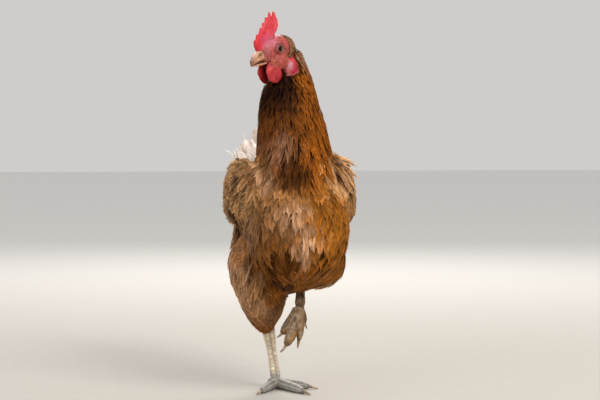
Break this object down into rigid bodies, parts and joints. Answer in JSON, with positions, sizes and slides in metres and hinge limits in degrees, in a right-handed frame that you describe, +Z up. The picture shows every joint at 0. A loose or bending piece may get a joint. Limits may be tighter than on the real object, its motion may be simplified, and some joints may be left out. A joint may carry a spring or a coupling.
{
  "type": "still model of a laying hen standing on one leg",
  "caption": "Life-size brown hen standing on one leg with the other foot lifted, neck stretched up and head turned aside, red comb and wattles.",
  "frame": {"origin": "on the floor, under the middle of the bounding box", "axes": "+Z up, the hen faces -Y, her left side is at +X"},
  "size_m": [0.1542, 0.3002, 0.4598],
  "materials": {
    "plumage": "soft golden-brown feathers",
    "hackle": "narrow mahogany feathers with golden edges",
    "quill": "cream-white flight feathers and fluff",
    "face": "bare wrinkled pink-red skin",
    "comb": "waxy granular red skin",
    "bill": "satin horn",
    "scute": "pale dusty scales",
    "claw": "worn horn",
    "eye": "wet gloss"
  },
  "bodies": {
    "root": {"head": "face", "comb": "comb", "bill_upper": "bill", "bill_lower": "bill", "eye_left": "eye", "eye_right": "eye", "wattle_left": "comb", "wattle_right": "comb", "ear_lobe_left": "comb", "ear_lobe_right": "comb", "neck": "hackle", "trunk": "plumage", "wing_left": "plumage", "wing_right": "plumage", "tail": "quill", "thigh_left": "plumage", "thigh_right": "plumage", "shank_left": "scute", "shank_right": "scute", "left_middle_toe": "scute", "left_inner_toe": "scute", "left_outer_toe": "scute", "left_hind_toe": "scute", "right_middle_toe": "scute", "right_inner_toe": "scute", "right_outer_toe": "scute", "right_hind_toe": "scute", "left_middle_claw": "claw", "left_inner_claw": "claw", "left_outer_claw": "claw", "left_hind_claw": "claw", "right_middle_claw": "claw", "right_inner_claw": "claw", "right_outer_claw": "claw", "right_hind_claw": "claw"}
  },
  "joints": []
}
